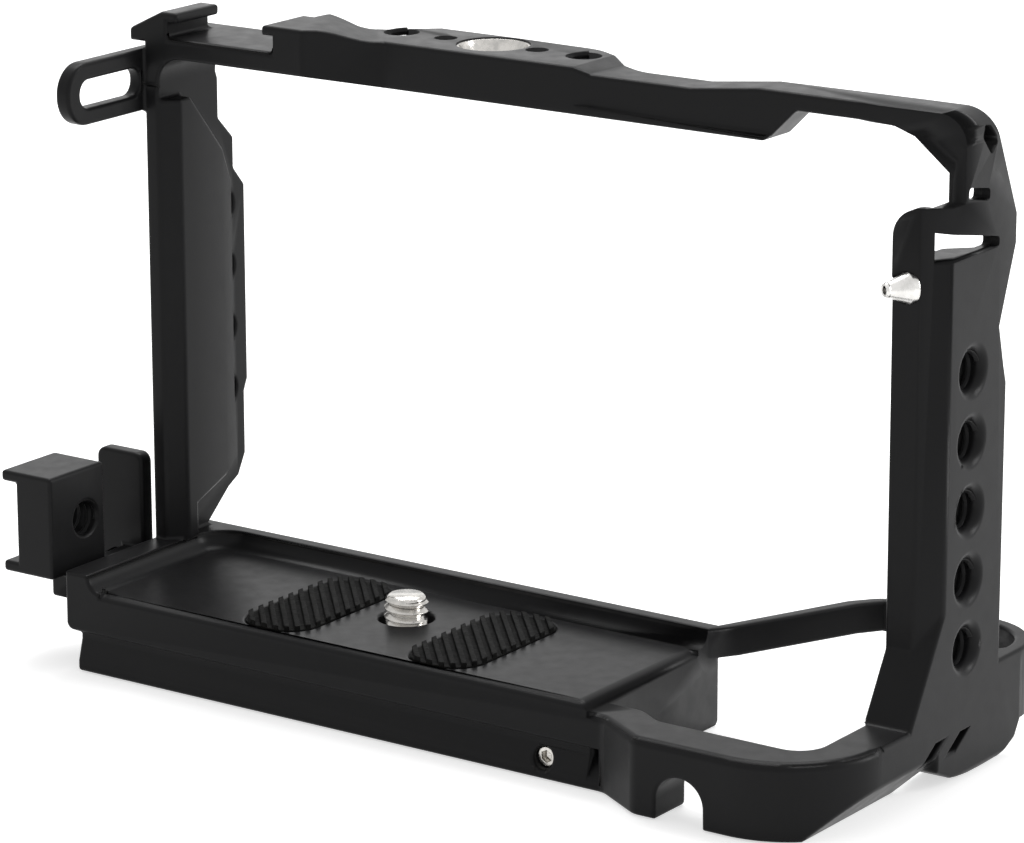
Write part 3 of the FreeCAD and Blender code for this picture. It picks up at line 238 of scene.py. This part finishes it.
black_anodised, nodes, links, shader, place = surface("black_anodised")
shader.inputs["Metallic"].default_value = 0.0
shader.inputs["Specular IOR Level"].default_value = 0.10
full_film, thin_film_and_highlight = (0.011, 0.011, 0.0115), (0.026, 0.025, 0.024)
rounded = softened_edge(nodes, radius=0.0003)
rub_and_highlight_patches = grain(nodes, links, place, scale=260, detail=3)
# Painted edge highlight and rubbed wear: every edge is painted paler than the faces.
rubbed_and_highlit = rubbed_and_highlit_share(nodes, links, rounded, rub_and_highlight_patches)
links.new(two_tones(nodes, links, rubbed_and_highlit, full_film, thin_film_and_highlight), shader.inputs["Base Color"])
clouds = grain(nodes, links, place, scale=420, detail=5)
links.new(spread(nodes, links, clouds, start=0.3, end=0.7, low=0.30, high=0.38), shader.inputs["Roughness"])
blasting = grain(nodes, links, place, scale=5200, detail=2)
raised(nodes, links, blasting, strength=0.35, depth=0.00002, edge_normal=rounded, shader=shader)

milled_frame = ["frame_base", "frame_loop_near", "frame_loop_side", "frame_loop_rail", "frame_right_post",
                "frame_top_bar", "frame_shoe", "frame_strap_lug", "frame_left_plate"]
same_point, sharp_edge, still_flat = 0.000002, math.radians(32), math.radians(0.5)


def outward(mesh):
    """Merges doubled points, turns the faces outwards and smooths all but the sharp edges."""
    shell = bmesh.new()
    shell.from_mesh(mesh)
    bmesh.ops.remove_doubles(shell, verts=shell.verts, dist=same_point)
    bmesh.ops.recalc_face_normals(shell, faces=shell.faces)
    shell.to_mesh(mesh)
    shell.free()
    mesh.shade_smooth()
    mesh.set_sharp_from_angle(angle=sharp_edge)


def free_copy(node):
    """A merged copy of a drawn limb, with its flat faces whole again."""
    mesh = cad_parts[node].data.copy()
    outward(mesh)
    shell = bmesh.new()
    shell.from_mesh(mesh)
    bmesh.ops.dissolve_limit(shell, angle_limit=still_flat, verts=shell.verts, edges=shell.edges)
    shell.to_mesh(mesh)
    shell.free()
    return placed(node + "_copy", mesh)


def settled(piece, name):
    """The piece with its modifiers made part of a plain mesh."""
    ready = piece.evaluated_get(bpy.context.evaluated_depsgraph_get())
    mesh = bpy.data.meshes.new_from_object(ready)
    mesh.name = name
    return mesh


def flat_bar(name, outline, near, far):
    """A bar with an outline in X and Z, from its near face to its far one."""
    shell = bmesh.new()
    near_face = shell.faces.new([shell.verts.new((x, near, z)) for x, z in outline])
    grown = bmesh.ops.extrude_face_region(shell, geom=[near_face])["geom"]
    for part in grown:
        if isinstance(part, bmesh.types.BMVert):
            part.co.y = far
    mesh = bpy.data.meshes.new(name)
    shell.to_mesh(mesh)
    shell.free()
    outward(mesh)
    return placed(name, mesh)


def refinish(mesh, material):
    """Gives a mesh one material in place of those that it had."""
    mesh.materials.clear()
    mesh.materials.append(material)


# A low web carries the tray's raised near corner down to its wall.
wall_end, corner_end, wall_near, bevel_far = -0.0482, -0.0419, -0.0165, -0.01515
web_foot, web_step, step_end, web_top = -0.0006, 0.00003, -0.0465, 0.0015
corner_web = flat_bar("corner_web", [
    (wall_end, web_foot), (corner_end, web_foot), (corner_end, web_step), (step_end, web_step),
    (step_end, web_top), (wall_end, web_top)], wall_near, bevel_far)
# The dovetail's near flank leans back only a little, up to a short neck under the tray.
block = free_copy(milled_frame[0])
flank_near, flank_level, flank_lean, flank_depth = -0.0165, -0.0105, 0.28, 0.0032
on_flank, neck_foot, neck_top = 0.00005, -0.0076, -0.0061
for point in block.data.vertices:
    rise = point.co.z - flank_level
    recess = point.co.y - flank_near
    if 0 < recess < flank_depth and (abs(recess - rise) < on_flank or neck_foot < point.co.z < neck_top):
        point.co.y = flank_near + min(recess, rise) * flank_lean
for limb in [free_copy(name) for name in milled_frame[1:]] + [corner_web]:
    weld = block.modifiers.new("weld", "BOOLEAN")
    weld.operation = "UNION"
    weld.solver = "EXACT"
    weld.object = limb
    block.data = settled(block, "block")
    block.modifiers.clear()
    bpy.data.objects.remove(limb)
whole = bmesh.new()
whole.from_mesh(block.data)
welded_point, faces_down = 0.00001, -0.9
bmesh.ops.remove_doubles(whole, verts=whole.verts, dist=welded_point)
bmesh.ops.dissolve_limit(whole, angle_limit=still_flat, verts=whole.verts, edges=whole.edges)
bmesh.ops.triangulate(whole, faces=[face for face in whole.faces if face.normal.z < faces_down])
whole.to_mesh(block.data)
whole.free()
# Each hole in the bar is where it lies along the bar, and how far round it edges stay crisp.
bar_holes = [(-0.0143, 0.0037), (-0.0067, 0.0021), (0.0014, 0.0058), (0.00875, 0.0021), (0.0165, 0.0037)]
bar_holes_line, bar_foot = 0.0194, 0.070
corner_inner, corner_foot = 0.0705, 0.0535
tray_end, tray_end_reach = 0.0415, 0.0004
bore_reach, bore_top = 0.0098, -0.0015
# The locking screw's seat, the loop's far corner and the foot of the post's near edge stay crisp too.
lug_seat = (0.0756, 0.0060, 0.0566)
crisp_spots = [(lug_seat, 0.0035), ((0.0781, 0.0365, -0.0075), 0.0090),
               ((0.0807, -0.0058, -0.0018), 0.0015)]


def left_crisp(middle):
    """Whether an edge is too near a hole, a slot or the locking screw's seat to be broken."""
    if middle.z > bar_foot and any(math.hypot(middle.x - x, middle.y - bar_holes_line) < reach
                                   for x, reach in bar_holes):
        return True
    if middle.x > corner_inner and middle.z > corner_foot or abs(middle.x - tray_end) < tray_end_reach:
        return True
    if math.hypot(middle.x, middle.y) < bore_reach and middle.z < bore_top:
        return True
    return any((middle - Vector(spot)).length < reach for spot, reach in crisp_spots)


broken_edge, edge_round = math.radians(28), 0.0005


def break_edges(piece, is_crisp):
    """Rounds a piece's edges as the deburring wheel does, except where they stay crisp."""
    shell = bmesh.new()
    shell.from_mesh(piece.data)
    share = shell.edges.layers.float.new("bevel_weight_edge")
    for edge in shell.edges:
        middle = (edge.verts[0].co + edge.verts[1].co) / 2
        if edge.calc_face_angle(0) > broken_edge and not is_crisp(middle):
            edge[share] = 1
    shell.to_mesh(piece.data)
    shell.free()
    piece.data.shade_smooth()
    broken = piece.modifiers.new("broken_edges", "BEVEL")
    broken.width = edge_round
    broken.segments = 3
    broken.limit_method = "WEIGHT"
    broken.use_clamp_overlap = False
    flat_again = piece.modifiers.new("flat_faces", "WEIGHTED_NORMAL")
    flat_again.keep_sharp = False
    flat_again.weight = 100


break_edges(block, left_crisp)
frame_mesh = settled(block, "milled_frame")
bpy.data.objects.remove(block)
refinish(frame_mesh, black_anodised)
milled = placed("milled_frame", frame_mesh)
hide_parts(*milled_frame)
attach(milled, "cage")


# Quarter-inch holes are tapped in the right post, the left plate and the top bar, so that
# accessories screw on. Their threads are cut in the metal and anodised with it.
def thread_tree():
    """A helical ridge that fades at both ends, set in a row of holes or on a shank."""
    tree = bpy.data.node_groups.new("thread_ridge", "GeometryNodeTree")
    tree.interface.new_socket("Geometry", in_out="OUTPUT", socket_type="NodeSocketGeometry")
    for title, kind in (("Turns", "Float"), ("Pitch", "Float"), ("Radius", "Float"),
                        ("Ridge Height", "Float"), ("Ridge Width", "Float"), ("Start", "Vector"),
                        ("Axis Turn", "Vector"), ("Count", "Int"), ("Step", "Vector"),
                        ("Metal", "Material")):
        tree.interface.new_socket(title, in_out="INPUT", socket_type="NodeSocket" + kind)
    nodes, links = tree.nodes, tree.links
    given = nodes.new("NodeGroupInput").outputs
    length = nodes.new("ShaderNodeMath")
    length.operation = "MULTIPLY"
    links.new(given["Turns"], length.inputs[0])
    links.new(given["Pitch"], length.inputs[1])
    helix = nodes.new("GeometryNodeCurveSpiral")
    helix.inputs["Resolution"].default_value = 40
    links.new(given["Turns"], helix.inputs["Rotations"])
    links.new(given["Radius"], helix.inputs["Start Radius"])
    links.new(given["Radius"], helix.inputs["End Radius"])
    links.new(length.outputs[0], helix.inputs["Height"])
    upright = nodes.new("GeometryNodeSetCurveNormal")
    upright.mode = "Z_UP"
    links.new(helix.outputs[0], upright.inputs["Curve"])
    along = nodes.new("GeometryNodeSplineParameter")
    fade = nodes.new("ShaderNodeFloatCurve")
    curve = fade.mapping.curves[0]
    thin_end, fade_length = 0.05, 0.12
    curve.points[0].location = (0, thin_end)
    curve.points[1].location = (1, thin_end)
    curve.points.new(fade_length, 1)
    curve.points.new(1 - fade_length, 1)
    for point in curve.points:
        point.handle_type = "VECTOR"
    fade.mapping.update()
    links.new(along.outputs["Factor"], fade.inputs["Value"])
    faded = nodes.new("GeometryNodeSetCurveRadius")
    links.new(upright.outputs[0], faded.inputs["Curve"])
    links.new(fade.outputs[0], faded.inputs["Radius"])
    diamond = nodes.new("GeometryNodeCurvePrimitiveCircle")
    diamond.inputs["Resolution"].default_value = 4
    diamond.inputs["Radius"].default_value = 1
    ridge_size = nodes.new("ShaderNodeCombineXYZ")
    links.new(given["Ridge Height"], ridge_size.inputs["X"])
    links.new(given["Ridge Width"], ridge_size.inputs["Y"])
    ridge_size.inputs["Z"].default_value = 1
    ridge = nodes.new("GeometryNodeTransform")
    links.new(diamond.outputs[0], ridge.inputs["Geometry"])
    links.new(ridge_size.outputs[0], ridge.inputs["Scale"])
    solid = nodes.new("GeometryNodeCurveToMesh")
    solid.inputs["Fill Caps"].default_value = True
    links.new(faded.outputs[0], solid.inputs["Curve"])
    links.new(ridge.outputs[0], solid.inputs["Profile Curve"])
    row = nodes.new("GeometryNodeMeshLine")
    links.new(given["Count"], row.inputs["Count"])
    links.new(given["Start"], row.inputs["Start Location"])
    links.new(given["Step"], row.inputs["Offset"])
    set_in = nodes.new("GeometryNodeInstanceOnPoints")
    links.new(row.outputs[0], set_in.inputs["Points"])
    links.new(solid.outputs[0], set_in.inputs["Instance"])
    links.new(given["Axis Turn"], set_in.inputs["Rotation"])
    real = nodes.new("GeometryNodeRealizeInstances")
    links.new(set_in.outputs[0], real.inputs[0])
    finished = nodes.new("GeometryNodeSetMaterial")
    links.new(real.outputs[0], finished.inputs["Geometry"])
    links.new(given["Metal"], finished.inputs["Material"])
    links.new(finished.outputs[0], nodes.new("NodeGroupOutput").inputs[0])
    return tree


thread_ridge = thread_tree()


def cut_thread(name, body, slot, metal, **sizes):
    """Makes a thread with the tree, as a plain mesh that rides on a body."""
    blank = bpy.data.objects.new(name + "_blank", bpy.data.meshes.new(name + "_blank"))
    scene.collection.objects.link(blank)
    modifier = blank.modifiers.new("thread", "NODES")
    modifier.node_group = thread_ridge
    for socket in thread_ridge.interface.items_tree:
        if socket.in_out == "INPUT":
            value = metal if socket.name == "Metal" else sizes[socket.name.replace(" ", "_").lower()]
            modifier[socket.identifier] = value
    mesh = settled(blank, name)
    bpy.data.objects.remove(blank)
    outward(mesh)
    thread = placed(name, mesh)
    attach(thread, body)


quarter_inch_pitch = 0.00127
hole_radius = 0.00262
tapped = {"pitch": quarter_inch_pitch, "radius": hole_radius,
          "ridge_height": 0.00036, "ridge_width": 0.00055}
across_cage, upright_axis = (0, math.pi / 2, 0), (0, 0, 0)
cut_thread("right_post_threads", "cage", "anodised", black_anodised, turns=4.7,
           start=(0.07362, 0.0151, 0.0065), axis_turn=across_cage, count=5, step=(0, 0, 0.00945), **tapped)
cut_thread("left_plate_threads", "cage", "anodised", black_anodised, turns=1.6,
           start=(-0.04805, 0.018, 0.0219), axis_turn=across_cage, count=4, step=(0, 0, 0.0092), **tapped)
cut_thread("top_bar_threads", "cage", "anodised", black_anodised, turns=4.7,
           start=(-0.0143, 0.0194, 0.0719), axis_turn=upright_axis, count=2, step=(0.0308, 0, 0), **tapped)


# The cable bracket is its own milled block, anodised like the frame and bolted to the tray's
# left end. Its tapped hole takes a cable clamp's screw.
bolted_face = -0.0483


def bolted_on(middle):
    """Whether an edge lies on the face that is bolted to the tray, and so stays crisp."""
    return middle.x > bolted_face


bracket_block = free_copy("cable_bracket")
break_edges(bracket_block, bolted_on)
bracket_mesh = settled(bracket_block, "bracket_milled")
bpy.data.objects.remove(bracket_block)
refinish(bracket_mesh, black_anodised)
bracket = placed("bracket_milled", bracket_mesh)
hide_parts("cable_bracket")
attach(bracket, "cage")
cut_thread("bracket_thread", "cage", "anodised", black_anodised, turns=4.8,
           start=(-0.0577, -0.0079, 0.0077), axis_turn=across_cage, count=1, step=(0, 0, 0), **tapped)


# Two steel screws hold the bracket from inside its ledge. They are turned from bar, with a
# broached hexagon socket, and go into the tray's end.
def turned_steel(name, centre, axis_turn, low, high):
    """Turned stainless steel: fine rings round the piece's own axis, and a few scuffs."""
    material, nodes, links, shader, place = surface(name)
    shader.inputs["Metallic"].default_value = 1.0
    on_axis = nodes.new("ShaderNodeMapping")
    on_axis.vector_type = "TEXTURE"
    on_axis.inputs["Location"].default_value = centre
    on_axis.inputs["Rotation"].default_value = axis_turn
    links.new(place, on_axis.inputs["Vector"])
    rings = nodes.new("ShaderNodeTexWave")
    rings.wave_type = "RINGS"
    rings.rings_direction = "Z"
    rings.inputs["Scale"].default_value = 900
    rings.inputs["Distortion"].default_value = 1.2
    rings.inputs["Detail"].default_value = 2
    links.new(on_axis.outputs[0], rings.inputs["Vector"])
    scuffs = grain(nodes, links, place, scale=700, detail=4)
    scuffed = spread(nodes, links, scuffs, start=0.35, end=0.65, low=0, high=1)
    links.new(two_tones(nodes, links, scuffed, low, high), shader.inputs["Base Color"])
    links.new(spread(nodes, links, scuffs, start=0.3, end=0.7, low=0.16, high=0.32),
              shader.inputs["Roughness"])
    raised(nodes, links, rings.outputs["Fac"], strength=0.25, depth=0.00001,
           edge_normal=softened_edge(nodes, radius=0.00015), shader=shader)
    return material


def lathed(name, rings, centre, axis, metal, closed=False):
    """Turns a piece from rings of (radius, height, sides); six sides make a broached hexagon."""
    steps = 60
    turn = Vector(axis).to_track_quat("Z", "Y")
    shell = bmesh.new()
    rows = []
    for radius, height, sides in rings:
        row = []
        for step in range(steps):
            angle = 2 * math.pi * step / steps
            reach = radius
            if sides:
                facet = 2 * math.pi / sides
                reach = radius / math.cos((angle + facet / 2) % facet - facet / 2)
            point = turn @ Vector((reach * math.cos(angle), reach * math.sin(angle), height))
            row.append(shell.verts.new(point + Vector(centre)))
        rows.append(row)
    for first, second in zip(rows, rows[1:] + rows[:1] if closed else rows[1:]):
        for step in range(steps):
            after = (step + 1) % steps
            shell.faces.new((first[step], first[after], second[after], second[step]))
    if not closed:
        shell.faces.new(rows[0])
        shell.faces.new(rows[-1])
    mesh = bpy.data.meshes.new(name)
    shell.to_mesh(mesh)
    shell.free()
    outward(mesh)
    mesh.materials.append(metal)
    piece = placed(name, mesh)
    return piece


bright_low, bright_high = (0.46, 0.45, 0.43), (0.62, 0.60, 0.57)
small_screw, small_socket, drill_point, hexagon = 0.0015, 0.00075, 0.0001, 6
bracket_screw_length = 0.0109
bracket_screw_rings = [
    (0.0012, 0, 0), (small_screw, 0.0003, 0), (small_screw, bracket_screw_length - 0.0002, 0),
    (0.0013, bracket_screw_length, 0), (small_socket, bracket_screw_length, hexagon),
    (small_socket, bracket_screw_length - 0.001, hexagon), (drill_point, bracket_screw_length - 0.0013, 0)]
for name, place_along in (("bracket_screw_near", -0.009), ("bracket_screw_far", 0.002)):
    foot = (-0.0437, place_along, -0.0017)
    steel = turned_steel(name + "_steel", foot, across_cage, bright_low, bright_high)
    screw = lathed(name + "_turned", bracket_screw_rings, foot, (-1, 0, 0), steel)
    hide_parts(name)
    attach(screw, "cage")


# The captive camera screw is stainless steel. Its neck is thinner than its thread, so that it
# can't fall out of the tray, and its head under the tray has a coin slot and a hexagon.
screw_axis_foot = (0, 0, 0)
screw_steel = turned_steel("camera_screw_steel", screw_axis_foot, upright_axis, bright_low, bright_high)
shank_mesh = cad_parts["camera_screw"].data.copy()
shank_mesh.name = "camera_screw_turned"
shank_foot, shank_widest, thread_core = -0.0005, 0.0030, 0.00250
for point in shank_mesh.vertices:
    radius = math.hypot(point.co.x, point.co.y)
    if point.co.z > shank_foot and radius > shank_widest:
        point.co.x *= thread_core / radius
        point.co.y *= thread_core / radius
refinish(shank_mesh, screw_steel)
outward(shank_mesh)
camera_screw = placed("camera_screw_turned", shank_mesh)
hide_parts("camera_screw")
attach(camera_screw, "screw")
cut_thread("camera_screw_thread", "screw", "steel", screw_steel, turns=2.35, pitch=quarter_inch_pitch,
           radius=0.00252, ridge_height=0.00064, ridge_width=0.0006, start=(0, 0, -0.0001),
           axis_turn=upright_axis, count=1, step=(0, 0, 0))


# A plain steel washer lies between the screw's head and the tray, and a snap ring of black
# spring steel keeps both in the bore.
washer_steel = turned_steel("washer_steel", screw_axis_foot, upright_axis,
                            low=(0.40, 0.39, 0.38), high=(0.52, 0.51, 0.49))
spring_steel = turned_steel("spring_steel", screw_axis_foot, upright_axis,
                            low=(0.07, 0.07, 0.075), high=(0.14, 0.14, 0.14))
refinish(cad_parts["screw_washer"].data, washer_steel)
refinish(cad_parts["screw_circlip"].data, spring_steel)


# Two ribbed rubber pads are pressed into the tray beside the screw, so that the camera doesn't
# turn. The rubber is moulded, matt and a little dusty in its grooves.
pad_rubber, nodes, links, shader, place = surface("pad_rubber")
shader.inputs["Metallic"].default_value = 0.0
shader.inputs["Specular IOR Level"].default_value = 0.06
clean_rubber, dusty_rubber = (0.0045, 0.0045, 0.0045), (0.009, 0.009, 0.0085)
specks = grain(nodes, links, place, scale=900, detail=4)
dust = spread(nodes, links, specks, start=0.35, end=0.7, low=0, high=1)
links.new(two_tones(nodes, links, dust, clean_rubber, dusty_rubber), shader.inputs["Base Color"])
scuffs = grain(nodes, links, place, scale=1600, detail=3)
links.new(spread(nodes, links, scuffs, start=0.3, end=0.7, low=0.6, high=0.8), shader.inputs["Roughness"])
raised(nodes, links, grain(nodes, links, place, scale=3200, detail=2), strength=0.5, depth=0.00004,
       edge_normal=softened_edge(nodes, radius=0.0003), shader=shader)
refinish(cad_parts["pad_left"].data, pad_rubber)
refinish(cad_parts["pad_right"].data, pad_rubber)


# The insert in the top bar is a bright turned steel ring with a wide countersink and a
# three-eighths thread. It is pressed in flush with the bar's crown.
insert_foot = (0.0014, 0.0194, 0.0728)
insert_height, insert_radius, insert_bore = 0.0052, 0.0052, 0.00397
insert_bevel, insert_lip, sink_depth = 0.0001, 0.00035, 0.0017
insert_steel = turned_steel("insert_steel", insert_foot, upright_axis, bright_low, bright_high)
insert = lathed("top_insert_turned", [
    (insert_bore, 0, 0), (insert_radius, 0, 0), (insert_radius, insert_height - insert_bevel, 0),
    (insert_radius - insert_bevel, insert_height, 0), (insert_radius - insert_lip, insert_height, 0),
    (insert_bore + insert_bevel, insert_height - sink_depth, 0),
    (insert_bore, insert_height - sink_depth - insert_bevel, 0)],
    insert_foot, (0, 0, 1), insert_steel, closed=True)
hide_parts("top_insert")
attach(insert, "cage")
cut_thread("top_insert_thread", "cage", "steel", insert_steel, turns=2.0, pitch=0.0015875,
           radius=0.00402, ridge_height=0.0005, ridge_width=0.0007, start=(0.0014, 0.0194, 0.07295),
           axis_turn=upright_axis, count=1, step=(0, 0, 0))


# The strap lug's locking screw is a bright turned cone with a socket in its tip. It is screwed
# into the right post and leans 30 degrees towards the camera's back.
lug_axis = (-0.5, -0.866, 0)
lug_turn = Vector(lug_axis).to_track_quat("Z", "Y").to_euler()
lug_shank, lug_collar, lug_collar_foot, lug_tip, lug_socket = 0.00125, 0.00215, -0.0011, 0.0032, 0.00058
lug_steel = turned_steel("lug_screw_steel", lug_seat, lug_turn,
                         low=(0.60, 0.59, 0.57), high=(0.78, 0.77, 0.75))
lug_screw = lathed("lug_lock_screw_turned", [
    (0.0010, -0.0034, 0), (lug_shank, -0.0032, 0), (lug_shank, lug_collar_foot, 0),
    (0.0020, lug_collar_foot, 0), (lug_collar, -0.00095, 0), (lug_collar, -0.0001, 0), (0.00205, 0, 0),
    (0.0010, 0.0027, 0), (0.00105, 0.0029, 0), (0.00085, lug_tip, 0), (0.00065, lug_tip, 0),
    (lug_socket, 0.0031, 0), (lug_socket, 0.0012, 0), (drill_point, 0.0009, 0)],
    lug_seat, lug_axis, lug_steel)
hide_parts("lug_lock_screw")
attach(lug_screw, "lug_lock")


# A small steel screw in the dovetail's near flank stops a plate from sliding off. Its cupped
# head sits in a bore, with a hexagon socket.
stop_foot = (0.0342, -0.0102, -0.0092)
stop_length = 0.0050
stop_steel = turned_steel("stop_screw_steel", stop_foot, (math.pi / 2, 0, 0),
                          low=(0.55, 0.53, 0.50), high=(0.70, 0.68, 0.64))
stop_screw = lathed("dovetail_stop_screw_turned", [
    (0.0012, 0, 0), (small_screw, 0.0003, 0), (small_screw, 0.0047, 0), (0.0013, stop_length, 0),
    (0.0008, stop_length, hexagon), (small_socket, 0.0049, hexagon), (small_socket, 0.0038, hexagon),
    (drill_point, 0.0034, 0)], stop_foot, (0, -1, 0), stop_steel)
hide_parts("dovetail_stop_screw")
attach(stop_screw, "cage")
